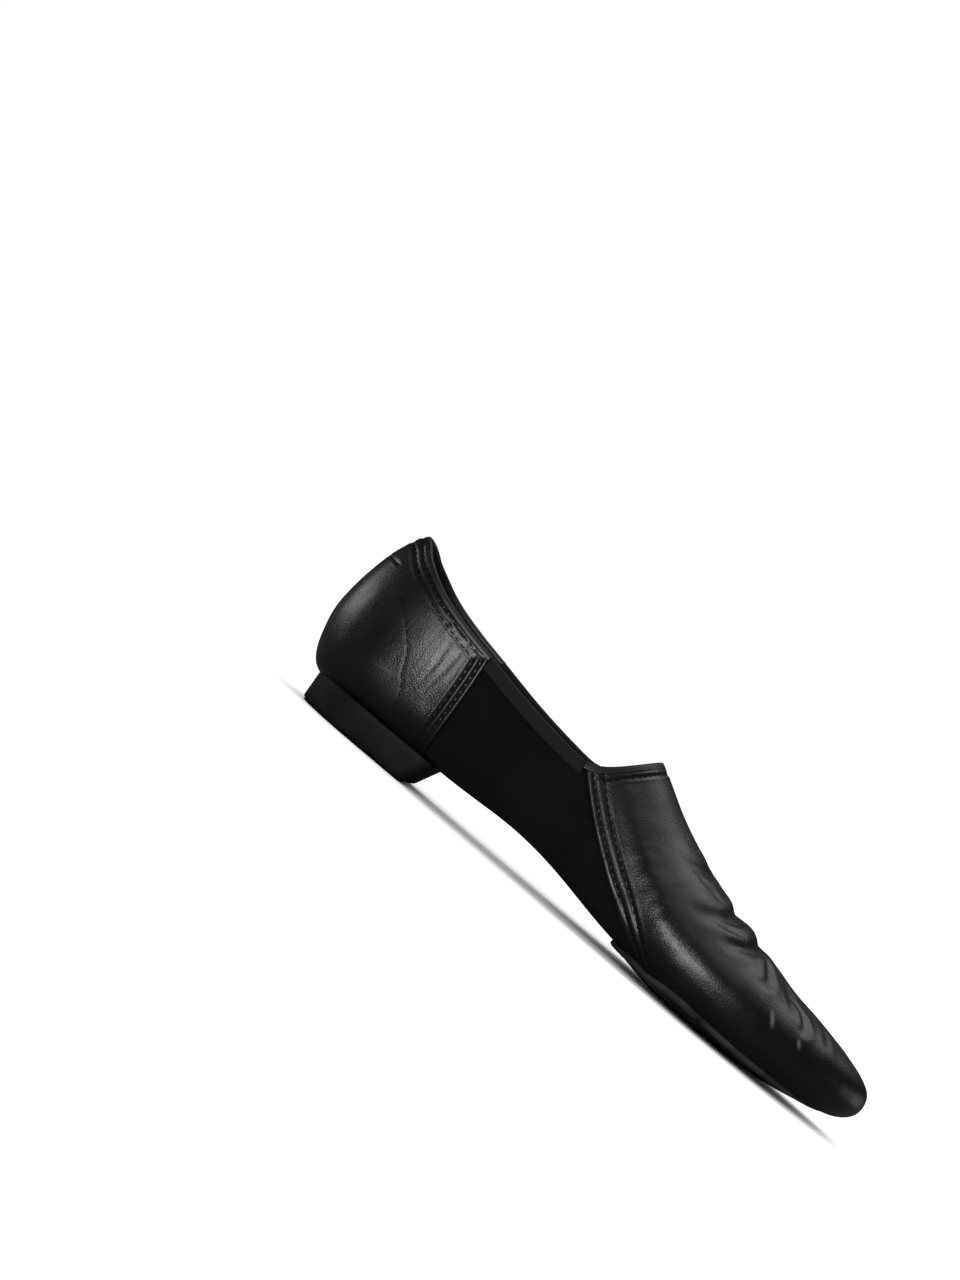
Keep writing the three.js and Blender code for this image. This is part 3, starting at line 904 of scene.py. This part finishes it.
def edge_strip(name, stretch, profile, thickness, material, node_names):
    """A folded strip over the body's top edge. The profile runs from outside to inside: offset from
    the body and depth below the edge."""
    line = evenly(stretch, 0.8)
    count = len(line)
    ahead = unit(np.gradient(line, axis=0))
    down = unit(np.cross(ahead, last_normal(*place_of(line))))
    down *= -1 if down[:, 2].mean() > 0 else 1
    profile = np.array(profile, float)
    way = unit(np.gradient(profile, axis=0))
    inside = profile + thickness * np.stack([way[:, 1], -way[:, 0]], -1)
    loop = np.vstack([profile, inside[::-1], profile[:1]])
    points = np.array([
        skin(*place_of(line + down * depth), np.full(count, offset)) for offset, depth in loop
    ])
    run = lengths(line) / 1000
    sheet = np.stack(np.broadcast_arrays(run[None, :], lengths(loop)[:, None] / 1000), -1)
    bm = shaped(len(loop), count, points, sheet=sheet)
    rims = [edge for edge in bm.edges if edge.is_boundary]
    bmesh.ops.holes_fill(bm, edges=rims, sides=0)
    finished(name, bm, material, node_names)


def fold(outside, inside, depth_out, depth_in):
    """Profile of a folded strip: up the outside, round the top, down the inside."""
    middle, half = (outside + inside) / 2, (outside - inside) / 2
    legs = [(outside - 0.25, depth_out), (outside, depth_out - 0.35)]
    legs += [(outside, d) for d in np.linspace(depth_out - 0.8, 0.4, 3)]
    bend = np.linspace(0.15, math.pi - 0.15, 9)
    arch = [(middle + half * math.cos(a), -FOLD_RISE * math.sin(a)) for a in bend]
    back = [(inside, d) for d in np.linspace(0.4, depth_in - 0.4, 3)] + [(inside + 0.2, depth_in)]
    return legs + arch + back


def collar_part(x_from, x_to, side=None):
    line = collar_line()
    keep = (line[:, 0] >= x_from) & (line[:, 0] <= x_to)
    if side:
        ridge = section(rows_at(line[:, 0])).ridge
        keep &= (np.sign(line[:, 1] - ridge) == side) & (line[:, 0] > 20)
    elif x_from <= 0:
        half = len(line) // 2
        line, keep = (np.concatenate([a[half:], a[1:half]]) for a in (line, keep))
    return line[keep]


class SHOE_OT_edge_strips(bpy.types.Operator):
    """Build the folded rim of the counter, the two elastic bindings and the hem of the throat"""

    bl_idname = "shoe.edge_strips"
    bl_label = "Edge strips"

    def execute(self, context):
        s = sizes()
        hide = leather("rim_leather", colours().leather, 0.5, 0.5)
        edging = elastic("binding_elastic", colours().elastic)
        back, front = COUNTER_CORNER[0], VAMP_CORNER[0]
        edge_strip(
            "counter_rim", collar_part(0, back + 0.6),
            fold(GAP + LEATHER + 0.12, -1.4, s.rim * 1000, 3.0), 0.8, hide, None,
        )
        for name, side in (("outer", OUTER), ("inner", INNER)):
            edge_strip(
                "elastic_" + name, collar_part(back - 0.5, front + 0.5, side),
                fold(GAP + 0.8, -1.55, s.binding * 1000, 4.0), 0.75, edging, ["binding_" + name],
            )
        edge_strip(
            "throat_hem", collar_part(front - 0.5, LENGTH),
            fold(GAP + LEATHER + 0.25, -1.4, s.hem * 1000, 3.4), 0.8, hide, None,
        )
        return {"FINISHED"}


def stitches(bm, places, ahead, long, offset):
    """Lays a stitch at each place on the leather, along its own way."""
    thick = sizes().thread * 1000
    u, w = place_of(places)
    for p, n, a in zip(places, last_normal(u, w), ahead):
        x = Vector(a).normalized()
        z = (Vector(n) - x * Vector(n).dot(x)).normalized()
        y = z.cross(x)
        turn = Matrix((x * long / 2, y * thick / 2, z * thick / 2)).transposed().to_4x4()
        turn.translation = Vector(p) + Vector(n) * offset
        bmesh.ops.create_uvsphere(bm, u_segments=8, v_segments=5, radius=1, matrix=turn)


def bar_tack(bm, side):
    """A few close stitches over the rim beside the back of the collar."""
    x = np.linspace(7.0, 10.0, 6)
    top, low = (side_point(x, top_height(x) - depth, side) for depth in (0.5, 3.3))
    stitches(bm, (top + low) / 2, top - low, 2.8, GAP + LEATHER + 0.2)


class SHOE_OT_stitches(bpy.types.Operator):
    """Sew the seams of the vamp and the counter"""

    bl_idname = "shoe.stitches"
    bl_label = "Stitches"

    def execute(self, context):
        thread = sewing_thread()
        for name, seams, slot in (
            ("vamp_stitches", vamp_seams(), "vamp_leather"),
            ("counter_stitches", counter_seams(), "counter_leather"),
        ):
            bm = bmesh.new()
            for path in seams:
                line = evenly(path, sizes().stitch_pitch * 1000)
                ahead = np.gradient(line, axis=0)
                stitches(bm, line, ahead, sizes().stitch_length * 1000, GAP + LEATHER - 0.18)
            if name == "counter_stitches":
                bar_tack(bm, OUTER)
                bar_tack(bm, INNER)
            finished(name, bm, thread, None)
        return {"FINISHED"}


def heel_outline(count):
    """The heel block seen from above: a D, round at the back and cornered at the breast."""
    side, front = HEEL_BREADTH / 2, HEEL_SETBACK + HEEL_LENGTH - HEEL_CORNER
    middle = HEEL_SETBACK + side
    line = np.vstack([
        arc(middle, 0, side, 0.25, 0.75, 120),
        arc(front, HEEL_CORNER - side, HEEL_CORNER, -0.25, 0, 24),
        arc(front, side - HEEL_CORNER, HEEL_CORNER, 0, 0.25, 24),
        [[middle, side]],
    ])
    outline = evenly(line, lengths(line)[-1] / count, closed=True)[:count]
    return np.vstack([outline, outline[:1]])


def arc(x, y, radius, start, end, steps):
    way = TURN * np.linspace(start, end, steps)
    return np.stack([x + radius * np.cos(way), y + radius * np.sin(way)], -1)


def heel_lean(forward, down):
    """How far the block leans towards the toe. forward runs from its back to its breast."""
    return down * (HEEL_FLARE - (HEEL_UNDERCUT + HEEL_FLARE) * forward)


def heel_rings(outline):
    """Rings of the block from the middle of its tread, up its wall and over its seat, which
    follows the counter. A ring is a share of the outline and a height."""
    height = HEEL_HEIGHT + HEEL_RIM
    middle = np.array([HEEL_SETBACK + HEEL_LENGTH / 2, 0])
    wall = [(0.0, TREAD), (0.5, TREAD), (0.94, TREAD), (0.968, TREAD + 0.05), (0.99, TREAD + 0.3)]
    wall += [(1.0, z) for z in np.linspace(TREAD + 0.8, height - 0.8, 6)]
    wall += [(0.993, height - 0.25), (0.975, height)]
    seat = [(f, height) for f in (0.95, 0.92, 0.89, 0.86, 0.82, 0.78, 0.7, 0.6, 0.45, 0.3, 0.0)]
    rings = []
    for share, z in wall + seat:
        flat = middle + (outline - middle) * share
        level = np.full(len(flat), z)
        if len(rings) >= len(wall):
            level = np.minimum(level, underside(*flat.T, GAP + LEATHER + 0.1)[:, 2])
        down = 1 - level / height
        flat[:, 0] += heel_lean((flat[:, 0] - HEEL_SETBACK) / HEEL_LENGTH, down)
        flat[:, 1] *= 1 - 2 * HEEL_FLARE * down / HEEL_BREADTH
        rings.append(np.column_stack([flat, level]))
    return np.array(rings)


def tread_ribs(bm, outline):
    """Bars across the tread, drawn in from its outline."""
    pitch = sizes().rib_pitch * 1000
    x = HEEL_SETBACK + RIB_MARGIN
    while x < HEEL_SETBACK + HEEL_LENGTH - 1.6:
        reach = np.abs(outline[np.abs(outline[:, 0] - x) < 0.9, 1]).max() - RIB_MARGIN
        place = x + heel_lean((x - HEEL_SETBACK) / HEEL_LENGTH, 1)
        bar = Matrix.Translation((place, 0, TREAD / 2 + 0.08)) @ Matrix.Diagonal(
            (pitch * 0.55, 2 * reach, TREAD + 0.1, 1)
        )
        bmesh.ops.create_cube(bm, size=1, matrix=bar)
        x += pitch


class SHOE_OT_heel(bpy.types.Operator):
    """Build the rubber heel block with its ribbed tread"""

    bl_idname = "shoe.heel"
    bl_label = "Heel"

    def execute(self, context):
        outline = heel_outline(144)
        rings = heel_rings(outline)
        bm = shaped(*rings.shape[:2], rings)
        bmesh.ops.recalc_face_normals(bm, faces=bm.faces)
        tread_ribs(bm, outline)
        finished(
            "heel_block", bm, rubber("heel_rubber", colours().heel, 0.62, colours().heel_dirt),
            ["heel"], outward=False,
        )
        return {"FINISHED"}


def underside(place_x, place_y, offset):
    """The underside of the last, grown by an offset, straight under or over places."""
    at = np.stack([place_x, place_y], -1).astype(float)
    for _ in range(10):
        u = rows_at(at[:, 0])
        s = section(u)
        y = at[:, 1] - s.ridge
        across = np.clip(y / reach_of(s, y), -0.999, 0.999)
        w = turn_of(across, -((1 - np.abs(across) ** s.lower) ** (1 / s.lower)))
        now = skin(u, w, offset)
        at += np.stack([place_x, place_y], -1) - now[:, :2]
    return now


def foot_edges(x, inset, toe_inset):
    s = section(rows_at(x))
    set_in = inset + (toe_inset - inset) * eased(x / LENGTH, TOE_ROLL)
    return [
        side * (reach - set_in * np.sqrt(1 + np.gradient(reach, x) ** 2))
        for side, reach in ((OUTER, s.lateral), (INNER, s.medial))
    ]


def narrowed(outer, inner, share):
    """Draws two edges together into a round end, as share runs up from 0 to 1."""
    keep = np.sqrt(1 - np.clip(1 - share, 0, 1) ** 2)
    middle = (outer + inner) / 2
    return middle + (outer - middle) * keep, middle + (inner - middle) * keep


def plate(back, front, insets, rounding, faces, count, squareness, hollow=0.0, even=0.0):
    """A thin closed plate under the last: a sphere drawn out flat. faces holds, for places along
    the shoe, how far its upper and lower face lie from the last. Inside a raised lip, its underside
    is sunk by the hollow. Behind even, it keeps one width, which only its rounding narrows."""
    x = np.linspace(back, front, 600)
    edges = [np.interp(np.maximum(x, even), x, edge) for edge in foot_edges(x, *insets)]
    outer, inner = narrowed(*edges, (x - back) / rounding)
    closed = np.nonzero((inner <= outer) & (x > (back + front) / 2))[0]
    if len(closed):
        used = slice(closed[0] + 1)
        front = x[closed[0]]
        x = x[used]
        outer, inner = narrowed(outer[used], inner[used], (front - x) / TOE_BLUNTING)
    bm = bmesh.new()
    bmesh.ops.create_uvsphere(bm, u_segments=count[0], v_segments=count[1], radius=1)
    co = np.array([v.co for v in bm.verts])
    theta = np.arccos(np.clip(co[:, 2], -1, 1))
    phi = np.arctan2(co[:, 1], co[:, 0])
    px = back + (front - back) * (1 - np.cos(theta)) / 2
    side = np.sign(np.cos(phi)) * np.abs(np.cos(phi)) ** (squareness + 0.25)
    thick = (np.maximum(np.sin(phi), 0) * np.sin(theta)) ** squareness
    low, high = np.interp(px, x, outer), np.interp(px, x, inner)
    py = (low + high) / 2 + side * (high - low) / 2
    at, top, bottom = np.array(faces, float).T
    top, bottom = np.interp(px, at, top), np.interp(px, at, bottom)
    inward = np.minimum(np.minimum(py - low, high - py), np.minimum(px - back, front - px))
    sunk = hollow * through(inward, PAD_LIP) * (thick > 0.5)
    points = underside(px, py, top + thick * (bottom - top) - sunk)
    points[:, 2] = np.maximum(points[:, 2], FLOOR_GAP)
    settle(bm, points)
    return bm


class SHOE_OT_forefoot_pad(bpy.types.Operator):
    """Build the sole pad under the ball of the foot and the toes"""

    bl_idname = "shoe.forefoot_pad"
    bl_label = "Forefoot pad"

    def execute(self, context):
        under = GAP + LEATHER + GAP + SOLE_THICKNESS
        faces = [
            (PAD_BACK, 0.2, 2.3), (PAD_BACK + 8, 0.2, 2.9), (PAD_BACK + 20, GAP, under),
            (PAD_FRONT - 22, 0.8, under), (PAD_FRONT - 10, 1.0, 3.1), (PAD_FRONT - 3, 1.2, 2.1),
            (PAD_FRONT, 1.2, 1.6),
        ]
        bm = plate(
            PAD_BACK, PAD_FRONT, (PAD_INSET, PAD_TOE_INSET), PAD_ROUNDING, faces, (112, 150),
            squareness=0.3, hollow=PAD_HOLLOW,
        )
        finished(
            "forefoot_pad", bm, rubber("sole_rubber", colours().pad, 0.75, colours().pad_dirt),
            ["forefoot_sole"],
        )
        return {"FINISHED"}


class SHOE_OT_insole(bpy.types.Operator):
    """Build the thin insole inside the shoe"""

    bl_idname = "shoe.insole"
    bl_label = "Insole"

    def execute(self, context):
        top = -(BODY_WALL + GAP + INSOLE_THICKNESS)
        faces = [(0, top, top + INSOLE_THICKNESS), (LENGTH, top, top + INSOLE_THICKNESS)]
        bm = plate(
            INSOLE_BACK, INSOLE_FRONT, (INSOLE_INSET, INSOLE_INSET), INSOLE_ROUNDING, faces,
            (88, 120), squareness=0.4, even=INSOLE_BACK + INSOLE_ROUNDING,
        )
        finished(
            "insole_sock", bm, cloth("insole_lining", colours().insole, 0.3, 1200),
            ["insole"],
        )
        return {"FINISHED"}


# The camera: degrees from straight beside the outer side, above the floor and rolled, then the
# distance, what it looks at, and how much it sees from top to bottom, in metres
AZIMUTH, ELEVATION, ROLL = 5, 1.5, 40
CAMERA_DISTANCE = 2.2
LOOKED_AT = Vector((-0.0766, 0, 0.0526))
IN_VIEW = 1.28 / 3

# The floor's colour and the sky's strength: as they are, and as gloss reflects them
PAPER, PAPER_IN_GLOSS = (0.97, 0.97, 0.97), (0.07, 0.07, 0.07)
SKY_LEVELS = (1.04, 0.035)

# Lights: name, place, width and height in metres, watts
LIGHTS = (
    ("key_light", (-0.12, -1.5, 0.5), 0.4, 0.7, 17),
    ("ceiling_light", (0.0, 0.1, 1.8), 1.2, 1.2, 3.5),
    ("heel_light", (-1.5, 0.3, 0.15), 0.9, 0.28, 3.6),
    ("back_light", (0.1, 1.1, 1.5), 1.2, 1.2, 5),
    ("toe_light", (1.3, 1.0, 0.35), 0.6, 0.6, 1.0),
)


def turned_object(name, data, place, turn):
    made = linked(name, data)
    made.location = place
    made.rotation_mode = "QUATERNION"
    made.rotation_quaternion = turn
    return made


class SHOE_OT_stage(bpy.types.Operator):
    """Set up the floor, the soft lights and the camera"""

    bl_idname = "shoe.stage"
    bl_label = "Stage"

    def execute(self, context):
        scene = context.scene
        paper, tree, shader, _ = blank("pale_floor", PAPER, 0.9, {"Specular IOR Level": 0})
        seen = add(tree, "ShaderNodeLightPath").outputs["Is Glossy Ray"]
        tone = mixed(tree, seen, PAPER, PAPER_IN_GLOSS)
        tree.links.new(tone, shader.inputs["Base Color"])
        bm = bmesh.new()
        bmesh.ops.create_circle(bm, cap_ends=True, segments=96, radius=30)
        mesh_object("floor", bm, paper)

        world = bpy.data.worlds.new("studio")
        world.use_nodes = True
        sky = world.node_tree
        behind = sky.nodes["Background"]
        behind.inputs["Color"].default_value = (1, 1, 1, 1)
        seen = add(sky, "ShaderNodeLightPath").outputs["Is Glossy Ray"]
        sky.links.new(ranged(sky, seen, *SKY_LEVELS, 0, 1), behind.inputs["Strength"])
        scene.world = world
        scene.view_settings.view_transform = "Standard"

        for name, place, wide, tall, power in LIGHTS:
            light = bpy.data.lights.new(name, "AREA")
            light.shape = "RECTANGLE"
            light.size, light.size_y = wide, tall
            light.energy = power
            aim = Vector((0, 0, 0.03)) - Vector(place)
            turned_object(name, light, place, aim.to_track_quat("-Z", "Y"))

        azimuth, elevation, roll = (math.radians(a) for a in (AZIMUTH, ELEVATION, ROLL))
        back = Vector((
            math.sin(azimuth) * math.cos(elevation),
            -math.cos(azimuth) * math.cos(elevation),
            math.sin(elevation),
        ))
        lens = bpy.data.cameras.new("camera")
        lens.sensor_width = 36
        lens.lens = 36 * CAMERA_DISTANCE / IN_VIEW
        turn = (-back).to_track_quat("-Z", "Y") @ Matrix.Rotation(roll, 3, "Z").to_quaternion()
        scene.camera = turned_object("camera", lens, LOOKED_AT + back * CAMERA_DISTANCE, turn)
        return {"FINISHED"}


OPERATORS = (
    SHOE_OT_stage,
    SHOE_OT_stretch_body,
    SHOE_OT_vamp,
    SHOE_OT_counter,
    SHOE_OT_edge_strips,
    SHOE_OT_stitches,
    SHOE_OT_heel,
    SHOE_OT_forefoot_pad,
    SHOE_OT_insole,
)


class SHOE_PT_panel(bpy.types.Panel):
    """Lists the steps that build the shoe, with its sizes and colours"""

    bl_label = "Jazz shoe"
    bl_idname = "SHOE_PT_panel"
    bl_space_type = "VIEW_3D"
    bl_region_type = "UI"
    bl_category = "Jazz shoe"

    def draw(self, context):
        for operator in OPERATORS:
            self.layout.operator(operator.bl_idname)
        for group in (sizes(), colours()):
            for name in group.__annotations__:
                self.layout.prop(group, name)


CLASSES = (ShoeSizes, ShoeColours, *OPERATORS, SHOE_PT_panel)


def register():
    for cls in CLASSES:
        bpy.utils.register_class(cls)
    bpy.types.Scene.shoe_sizes = PointerProperty(type=ShoeSizes)
    bpy.types.Scene.shoe_colours = PointerProperty(type=ShoeColours)


def unregister():
    del bpy.types.Scene.shoe_colours
    del bpy.types.Scene.shoe_sizes
    for cls in reversed(CLASSES):
        bpy.utils.unregister_class(cls)


def main():
    register()
    for operator in OPERATORS:
        group, name = operator.bl_idname.split(".")
        getattr(getattr(bpy.ops, group), name)()


if __name__ == "__main__":
    main()
